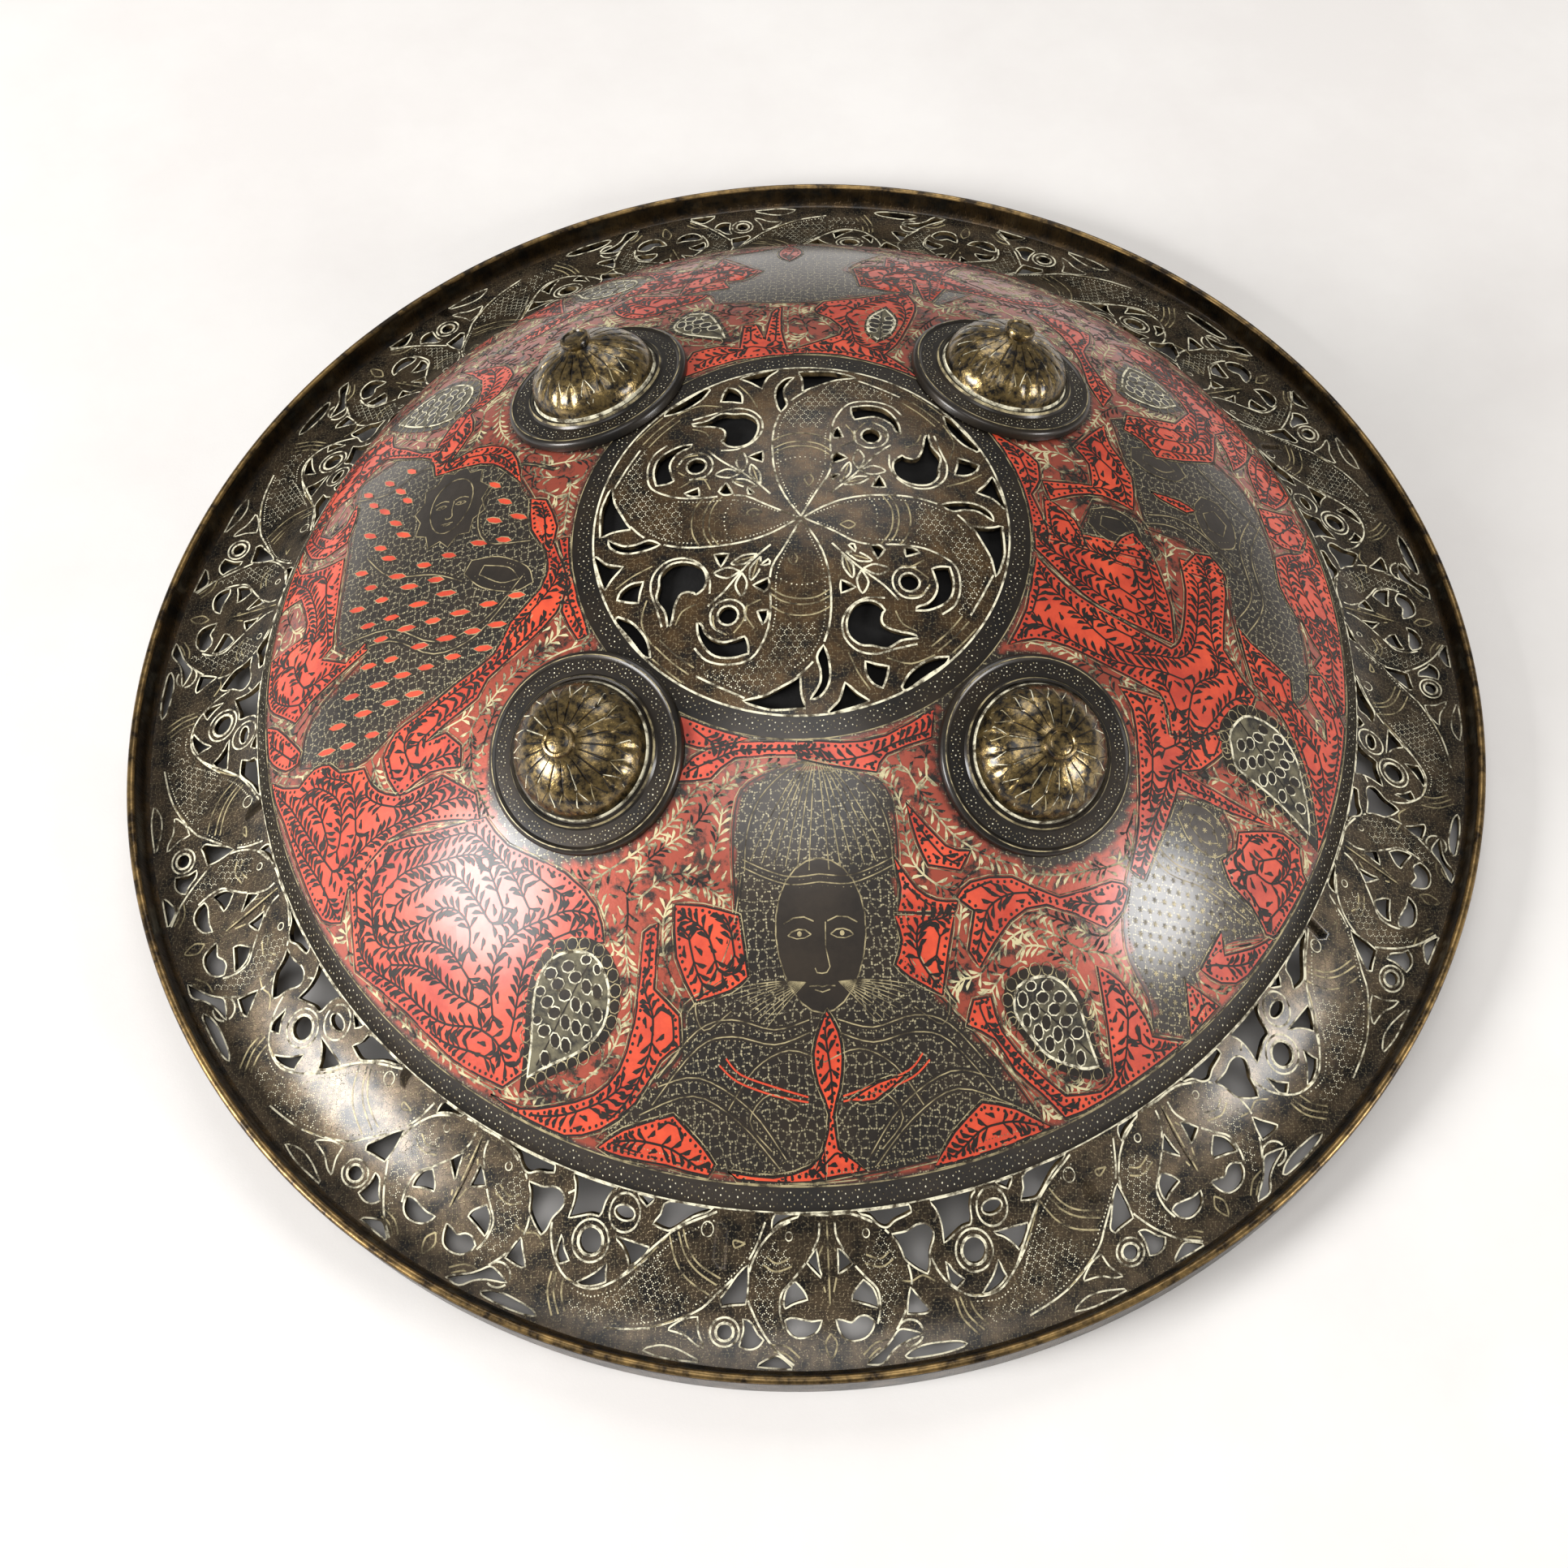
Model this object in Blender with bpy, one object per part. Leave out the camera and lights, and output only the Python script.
"""Round brass shield, domed, with a pierced and backed crown, a pierced flange and four bosses.

The shield lies dome up on its rim. The origin is the middle of the rim's flat foot, and +Z is up.
One sheet makes the dome, the flange and the turned-up rim. Each boss is a casting of its own, whose
rivet passes through the dome and is peened over inside.
"""

from math import asin, atan2, cos, pi, radians, sin, sqrt

import bmesh
import bpy
from mathutils import Matrix, Vector

MM = 0.001
FIT_GAP = 0.3 * MM

# Sheet and overall form
OUTER_DIAMETER = 460.0 * MM
SHEET = 1.6 * MM
DOME_RISE = 80.5 * MM

# Rim, from the outer edge inwards; shares are of its width and of its rise above the gutter
RIM_HEIGHT = 16.0 * MM
RIM_WIDTH = 5.2 * MM
BEAD_OVERHANG = 0.6 * MM
FOOT_WIDTH = 1.8 * MM
RIM_BEND_SHARES = (0.42, 0.48)
RIM_NECK_SHARES = (0.58, 0.90)
BEAD_TOP_SHARE = 0.82
BEAD_SIDE_SHARE = 0.83

# Flange, between the rim's gutter and the dark ring round the dome's foot
FLANGE_WIDTH = 41.2 * MM
GUTTER_HEIGHT = 7.6 * MM
FLANGE_KNEE_SHARE = 0.617
FLANGE_KNEE_RISE = 3.4 * MM
FLANGE_RISE = 20.4 * MM
FOOT_RING_WIDTH = 5.5 * MM
FOOT_RING_RISE = 9.8 * MM

# Pierced crown
CROWN_RADIUS = 62.0 * MM
CROWN_INNER_SHARE = 0.55

# Dark leather disc behind the crown's openings
BACKING_RADIUS = 70.0 * MM
BACKING_THICKNESS = 1.2 * MM

# Bosses, each with the place its smith gave it: direction in degrees, distance from the axis
BOSS_PLACES = ((45.1, 91.5 * MM), (135.0, 91.6 * MM), (226.4, 92.1 * MM), (313.5, 97.0 * MM))
BRIM_RADIUS = 30.0 * MM
BRIM_THICKNESS = 3.0 * MM
BRIM_EDGE_WIDTH = 1.6 * MM
BODY_RADIUS = 20.0 * MM
BODY_FOOT_HEIGHT = 3.6 * MM
BODY_HEIGHT = 16.4 * MM
BODY_BENDS = (22, 54, 90)
RIDGE_WIDTH = 2.2 * MM
RIDGE_RISE = 0.8 * MM
FLUTE_DEPTH = 0.6 * MM
FLUTES = 18
KNOB_RADIUS = 5.0 * MM
KNOB_HEIGHT = 3.2 * MM
KNOB_CHAMFER = 0.8 * MM
RIVET_RADIUS = 3.0 * MM
RIVET_HEAD_RADIUS = 6.0 * MM
RIVET_HEAD_THICKNESS = 1.6 * MM

# Steps round the axis: a multiple of the eleven repeats for the sheet, of the flutes for a boss
SHEET_STEPS = 44
DOME_BANDS = 4
CROWN_STEPS = 11
BACKING_STEPS = 22
BOSS_STEPS = 2 * FLUTES
KNOB_STEPS = 12
HOLE_STEPS = 8

# Directions in which the smith set the eleven roundels of the flange, in degrees
ROUNDELS = (6.2, 37.6, 73.1, 104.5, 138.2, 170.0, 203.4, 237.3, 270.6, 303.9, 337.8)

# The flange's openings, drawn in millimetres in a cell as long as one repeat at mid flange and as
# deep as the flange: x along the rim from the roundel's axis, y outwards from the dark ring
CELL_LENGTH = 116.5
CELL_DEPTH = 41.2
ROUNDEL_OPENINGS = (
    ((-10.1, 17.3), (-13.0, 23.4), (-4.6, 22.3)),
    ((10.1, 17.6), (6.0, 22.4), (13.4, 24.8)),
    ((-12.7, 27.2), (-9.5, 31.6), (-4.6, 31.0), (-2.4, 27.6)),
    ((1.8, 27.6), (5.0, 32.7), (9.4, 32.5), (12.2, 28.4)),
)
FISH_OPENINGS = (
    ((-24.2, 13.3), (-31.6, 23.2), (-24.2, 23.5)),
    ((-37.4, 28.2), (-44.6, 32.6), (-34.6, 36.0)),
    ((-24.2, 27.6), (-24.8, 34.9), (-18.7, 32.6)),
    ((-50.1, 39.8), (-35.4, 40.3), (-44.0, 37.6)),
    ((-19.6, 40.2), (-10.6, 40.4), (-15.2, 37.3)),
)
SCROLL_OPENINGS = (
    ((11.0, 0.6), (19.0, 4.7), (26.6, 0.6)),
    ((21.0, 7.0), (24.7, 15.2), (29.2, 18.0), (32.0, 6.4)),
    ((33.8, 0.6), (35.8, 11.1), (44.4, 8.2), (48.0, 0.6)),
    ((41.0, 14.8), (43.0, 18.5), (47.0, 16.6), (45.6, 12.0)),
    ((50.3, 19.5), (44.0, 26.6), (51.2, 24.1)),
    ((51.2, 12.3), (57.2, 18.2), (61.6, 12.9)),
    ((23.6, 21.0), (21.8, 27.8), (27.8, 28.0)),
    ((19.2, 32.2), (9.6, 40.2), (24.8, 34.0)),
    ((19.8, 39.5), (36.0, 39.4), (27.5, 37.2)),
    ((66.2, 0.6), (64.8, 7.2), (80.4, 0.6)),
)

# One quarter of the crown's openings, drawn in millimetres in a disc of this radius: x and y from
# the axis, in the quarter between +X and +Y
CROWN_DRAWN_RADIUS = 62.0
CROWN_OPENINGS = (
    ((0.0, 59.8), (1.2, 51.6), (17.0, 57.6), (9.0, 59.9)),
    ((16.2, 43.4), (16.8, 38.6), (25.4, 39.0), (30.3, 33.0), (28.4, 40.8), (22.0, 44.2)),
    ((18.8, 31.6), (20.2, 28.9), (23.0, 28.9), (24.4, 31.6), (23.0, 34.0), (20.2, 34.0)),
    ((11.4, 34.6), (10.2, 30.8), (12.9, 30.8)),
    ((10.8, 24.2), (9.8, 20.6), (14.0, 22.4)),
    ((23.6, 15.6), (21.4, 11.6), (25.4, 11.6)),
    ((38.9, 33.4), (36.8, 24.6), (28.6, 20.4), (31.0, 14.2), (37.0, 13.1), (42.0, 19.0)),
    ((48.2, 24.2), (46.9, 18.2), (54.1, 22.4)),
    ((44.6, 41.8), (46.8, 34.6), (54.4, 28.4), (50.6, 35.2)),
    ((58.1, 18.4), (53.6, 12.2), (61.4, 7.2)),
    ((42.2, 5.8), (48.8, 5.0), (57.4, 2.2), (53.4, 6.7)),
)

# Sizes that follow from those above
OUTER_RADIUS = OUTER_DIAMETER / 2
WALL_RADIUS = OUTER_RADIUS - BEAD_OVERHANG
GUTTER_RADIUS = OUTER_RADIUS - RIM_WIDTH
FOOT_RING_RADIUS = GUTTER_RADIUS - FLANGE_WIDTH
FOOT_RING_HEIGHT = GUTTER_HEIGHT + FLANGE_RISE
DOME_EDGE_RADIUS = FOOT_RING_RADIUS - FOOT_RING_WIDTH
DOME_EDGE_HEIGHT = FOOT_RING_HEIGHT + FOOT_RING_RISE
SPHERE_RADIUS = (DOME_EDGE_RADIUS ** 2 + DOME_RISE ** 2) / (2 * DOME_RISE)
SPHERE_HEIGHT = DOME_EDGE_HEIGHT + DOME_RISE - SPHERE_RADIUS
BAND_TURN = (asin(DOME_EDGE_RADIUS / SPHERE_RADIUS) - asin(CROWN_RADIUS / SPHERE_RADIUS)) / DOME_BANDS
FACET_SAG = SPHERE_RADIUS * (2 - cos(BAND_TURN / 2) - cos(pi / SHEET_STEPS))


def on_sphere(radius, sphere_radius):
    """Point of a profile on a sphere about the dome's own centre."""
    return radius, SPHERE_HEIGHT + sqrt(sphere_radius ** 2 - radius ** 2)


def set_back(points, distance):
    """Profile that runs beside another, at a distance towards the hollow side."""
    moved = []
    for index, (radius, height) in enumerate(points):
        before = points[max(index - 1, 0)]
        after = points[min(index + 1, len(points) - 1)]
        first = Vector((radius - before[0], height - before[1]))
        second = Vector((after[0] - radius, after[1] - height))
        normals = [Vector((step.y, -step.x)).normalized() for step in (first, second) if step.length > 0]
        middle = sum(normals, Vector((0, 0))).normalized()
        reach = distance / middle.dot(normals[0])
        moved.append((radius + middle.x * reach, height + middle.y * reach))
    return moved


def crown_profile(sphere_radius):
    """The crown's profile, from the axis to a ring inside its edge."""
    edge = CROWN_RADIUS * sphere_radius / SPHERE_RADIUS
    return [on_sphere(0.0, sphere_radius), on_sphere(edge * CROWN_INNER_SHARE, sphere_radius)]


def dome_profile(sphere_radius):
    """The dome's profile, from the crown's edge to the dome's edge."""
    share = sphere_radius / SPHERE_RADIUS
    first = asin(CROWN_RADIUS / SPHERE_RADIUS)
    turns = [first + BAND_TURN * step for step in range(DOME_BANDS + 1)]
    return [on_sphere(SPHERE_RADIUS * share * sin(turn), sphere_radius) for turn in turns]


def flange_profile():
    """The sheet's outer face from the dome's edge to the gutter inside the rim."""
    return [
        (DOME_EDGE_RADIUS, DOME_EDGE_HEIGHT),
        (FOOT_RING_RADIUS, FOOT_RING_HEIGHT),
        (FOOT_RING_RADIUS + FLANGE_WIDTH * FLANGE_KNEE_SHARE, GUTTER_HEIGHT + FLANGE_KNEE_RISE),
        (GUTTER_RADIUS, GUTTER_HEIGHT),
    ]


def rim_profile():
    """The rim, from the gutter over the bead and down to its flat foot."""
    wall_rise = RIM_HEIGHT - GUTTER_HEIGHT
    shares = (RIM_BEND_SHARES, RIM_NECK_SHARES, (BEAD_TOP_SHARE, 1.0), (1.0, BEAD_SIDE_SHARE))
    bead = [(GUTTER_RADIUS + RIM_WIDTH * out, GUTTER_HEIGHT + wall_rise * up) for out, up in shares]
    return bead + [
        (WALL_RADIUS, 0.0),
        (WALL_RADIUS - FOOT_WIDTH, 0.0),
    ]


def turned(mesh, profile, steps):
    """Spins a profile of radii and heights into a surface round Z."""
    verts = [mesh.verts.new((radius, 0.0, height)) for radius, height in profile]
    edges = [mesh.edges.new(pair) for pair in zip(verts, verts[1:])]
    bmesh.ops.spin(mesh, geom=verts + edges, axis=(0, 0, 1), cent=(0, 0, 0), angle=2 * pi,
                   steps=steps, use_merge=True)


def join_rings(mesh, ring_points):
    """Bridges the open rings that pass through two points of a profile."""
    edges = []
    for radius, height in ring_points:
        edges += [edge for edge in mesh.edges if edge.is_boundary and all(
            abs(sqrt(vert.co.x ** 2 + vert.co.y ** 2) - radius) < 0.02 * MM
            and abs(vert.co.z - height) < 0.02 * MM for vert in edge.verts)]
    bmesh.ops.bridge_loops(mesh, edges=edges)


def finish_object(mesh, name, material):
    """Turns a mesh into a named object with its faces outwards and round parts smooth."""
    bmesh.ops.remove_doubles(mesh, verts=mesh.verts, dist=0.001 * MM)
    bmesh.ops.triangulate(mesh, faces=mesh.faces)
    bmesh.ops.recalc_face_normals(mesh, faces=mesh.faces)
    data = bpy.data.meshes.new(name)
    mesh.to_mesh(data)
    mesh.free()
    data.shade_smooth()
    data.set_sharp_from_angle(angle=radians(35))
    if material:
        data.materials.append(material)
    part = bpy.data.objects.new(name, data)
    bpy.context.scene.collection.objects.link(part)
    return part


def make_material(name, color, roughness, metallic):
    """A Principled material with one colour."""
    material = bpy.data.materials.new(name)
    material.use_nodes = True
    shader = material.node_tree.nodes["Principled BSDF"]
    shader.inputs["Base Color"].default_value = (*color, 1.0)
    shader.inputs["Roughness"].default_value = roughness
    shader.inputs["Metallic"].default_value = metallic
    material.diffuse_color = (*color, 1.0)
    return material


def add_prism(mesh, outline, bottom, top):
    """Adds a closed upright prism over a plan outline, as a cutter."""
    face = mesh.faces.new([mesh.verts.new((x, y, bottom)) for x, y in outline])
    raised = bmesh.ops.extrude_face_region(mesh, geom=[face])["geom"]
    bmesh.ops.translate(mesh, vec=(0, 0, top - bottom),
                        verts=[item for item in raised if isinstance(item, bmesh.types.BMVert)])


def flange_place(index, point):
    """Plan position of a point drawn in the cell of one roundel."""
    along, outwards = point[0] / CELL_LENGTH, point[1] / CELL_DEPTH
    here = ROUNDELS[index]
    following = ROUNDELS[(index + 1) % len(ROUNDELS)]
    previous = ROUNDELS[index - 1]
    pitch = (following - here) % 360 if along > 0 else (here - previous) % 360
    turn = radians(here + along * pitch)
    radius = FOOT_RING_RADIUS + outwards * FLANGE_WIDTH
    return radius * cos(turn), radius * sin(turn)


def crown_place(quarter, point):
    """Plan position of a point drawn in the crown's first quarter."""
    share = CROWN_RADIUS / CROWN_DRAWN_RADIUS
    turn = atan2(point[1], point[0]) + quarter * pi / 2
    radius = sqrt(point[0] ** 2 + point[1] ** 2) * share
    return radius * cos(turn), radius * sin(turn)


def boss_frame(place):
    """Matrix of a boss: its origin on the dome, its Z along the dome's normal there."""
    turn, radius = radians(place[0]), place[1]
    tilt = asin(radius / SPHERE_RADIUS)
    spot = Vector((radius * cos(turn), radius * sin(turn), on_sphere(radius, SPHERE_RADIUS)[1]))
    return Matrix.Translation(spot) @ Matrix.Rotation(turn, 4, "Z") @ Matrix.Rotation(tilt, 4, "Y")


def make_cutters():
    """The openings of crown and flange and the rivet holes, as one mesh of closed prisms."""
    mesh = bmesh.new()
    top = SPHERE_HEIGHT + SPHERE_RADIUS + 2 * SHEET
    for quarter in range(4):
        for outline in CROWN_OPENINGS:
            add_prism(mesh, [crown_place(quarter, point) for point in outline], DOME_EDGE_HEIGHT, top)
    for index in range(len(ROUNDELS)):
        for outline in ROUNDEL_OPENINGS + FISH_OPENINGS + SCROLL_OPENINGS:
            add_prism(mesh, [flange_place(index, point) for point in outline],
                      -2 * SHEET, FOOT_RING_HEIGHT + 2 * SHEET)
    for place in BOSS_PLACES:
        bmesh.ops.create_cone(mesh, cap_ends=True, segments=HOLE_STEPS, depth=6 * SHEET,
                              radius1=RIVET_RADIUS + FIT_GAP, radius2=RIVET_RADIUS + FIT_GAP,
                              matrix=boss_frame(place))
    cutter = finish_object(mesh, "piercing_cutter", None)
    cutter.hide_render = True
    cutter.display_type = "WIRE"
    return cutter


def make_dish(material):
    """The sheet: dome, dark ring, flange and rim, with its openings cut through."""
    mesh = bmesh.new()
    outer_crown = crown_profile(SPHERE_RADIUS)
    inner_crown = crown_profile(SPHERE_RADIUS - SHEET)
    outer_dome = dome_profile(SPHERE_RADIUS)
    inner_dome = dome_profile(SPHERE_RADIUS - SHEET)
    under = set_back([outer_dome[-2]] + flange_profile() + rim_profile()[:1], SHEET)[2:-1]
    wall_foot = (WALL_RADIUS - FOOT_WIDTH, under[-1][1])
    turned(mesh, outer_dome + flange_profile()[1:] + rim_profile() + [wall_foot] + under[::-1]
           + inner_dome[::-1], SHEET_STEPS)
    for crown, dome in ((outer_crown, outer_dome), (inner_crown, inner_dome)):
        turned(mesh, crown, CROWN_STEPS)
        join_rings(mesh, (crown[-1], dome[0]))
    dish = finish_object(mesh, "dish", material)
    piercing = dish.modifiers.new("piercing", "BOOLEAN")
    piercing.operation = "DIFFERENCE"
    piercing.solver = "EXACT"
    piercing.object = make_cutters()
    return dish


def make_backing(material):
    """The disc behind the crown, curved like the dome and clear of its facets."""
    top = SPHERE_RADIUS - SHEET - FACET_SAG - FIT_GAP
    bottom = top - BACKING_THICKNESS
    upper = [on_sphere(BACKING_RADIUS * share, top) for share in (0.0, CROWN_INNER_SHARE, 1.0)]
    lower = [on_sphere(BACKING_RADIUS * share, bottom) for share in (1.0, CROWN_INNER_SHARE, 0.0)]
    mesh = bmesh.new()
    turned(mesh, upper + lower, BACKING_STEPS)
    return finish_object(mesh, "crown_backing", material)


def under_face(radius):
    """Height of a boss's underside, which follows the dome at the fit gap."""
    return sqrt((SPHERE_RADIUS + FIT_GAP) ** 2 - radius ** 2) - SPHERE_RADIUS


def boss_profiles():
    """Profiles of a boss: its knob, its body with the brim, and its rivet."""
    brim_top = under_face(BRIM_RADIUS) + BRIM_THICKNESS
    knob = [
        (0.0, BODY_HEIGHT + KNOB_HEIGHT),
        (KNOB_RADIUS - KNOB_CHAMFER, BODY_HEIGHT + KNOB_HEIGHT),
        (KNOB_RADIUS, BODY_HEIGHT + KNOB_HEIGHT - KNOB_CHAMFER),
        (KNOB_RADIUS, BODY_HEIGHT),
    ]
    rise = BODY_HEIGHT - BODY_FOOT_HEIGHT
    body = [
        (BODY_RADIUS * sin(turn), BODY_FOOT_HEIGHT + rise * cos(turn))
        for turn in (radians(degrees) for degrees in BODY_BENDS)
    ]
    brim = [
        (BODY_RADIUS + RIDGE_WIDTH, brim_top + RIDGE_RISE),
        (BRIM_RADIUS - BRIM_EDGE_WIDTH, brim_top),
        (BRIM_RADIUS, brim_top - RIDGE_RISE),
        (BRIM_RADIUS, under_face(BRIM_RADIUS)),
        (BRIM_RADIUS / 2, under_face(BRIM_RADIUS / 2)),
    ]
    head_reach = SPHERE_RADIUS - SHEET - FACET_SAG - FIT_GAP
    head_top = sqrt(head_reach ** 2 - RIVET_HEAD_RADIUS ** 2) - SPHERE_RADIUS
    rivet = [
        (RIVET_RADIUS, under_face(RIVET_RADIUS)),
        (RIVET_RADIUS, head_top),
        (RIVET_HEAD_RADIUS, head_top),
        (RIVET_HEAD_RADIUS, head_top - RIVET_HEAD_THICKNESS),
        (0.0, head_top - RIVET_HEAD_THICKNESS),
    ]
    return knob, body, brim, rivet


def press_flutes(mesh, body):
    """Draws in every second line of the body, so that its flutes stand between them."""
    lines = 2 * FLUTES
    for vert in mesh.verts:
        radius = sqrt(vert.co.x ** 2 + vert.co.y ** 2)
        line = round(atan2(vert.co.y, vert.co.x) * lines / (2 * pi)) % 2
        in_body = body[1][1] + 0.01 * MM > vert.co.z > body[-1][1] + 0.01 * MM
        if line and in_body and radius < body[-1][0]:
            vert.co -= Vector((vert.co.x / radius, vert.co.y / radius, 0.6)) * FLUTE_DEPTH


def make_boss_mesh():
    """One boss with its rivet, about its own axis, as an unfinished mesh."""
    knob, body, brim, rivet = boss_profiles()
    mesh = bmesh.new()
    turned(mesh, body + brim, BOSS_STEPS)
    press_flutes(mesh, body)
    turned(mesh, knob, KNOB_STEPS)
    turned(mesh, rivet, HOLE_STEPS)
    join_rings(mesh, (knob[-1], body[0]))
    join_rings(mesh, (brim[-1], rivet[0]))
    return mesh


def make_boss(number, place, material):
    """A boss at its own place on the dome."""
    boss = finish_object(make_boss_mesh(), f"boss_{number}", material)
    boss.matrix_world = boss_frame(place)
    return boss


def main():
    for item in list(bpy.data.objects):
        bpy.data.objects.remove(item, do_unlink=True)
    sheet_brass = make_material("dark_brass_sheet", (0.12, 0.085, 0.055), 0.38, 0.9)
    cast_brass = make_material("worn_brass_casting", (0.22, 0.15, 0.08), 0.35, 0.95)
    dark_leather = make_material("dark_leather", (0.02, 0.015, 0.012), 0.8, 0.0)
    make_dish(sheet_brass)
    make_backing(dark_leather)
    for number, place in enumerate(BOSS_PLACES, start=1):
        make_boss(number, place, cast_brass)


main()
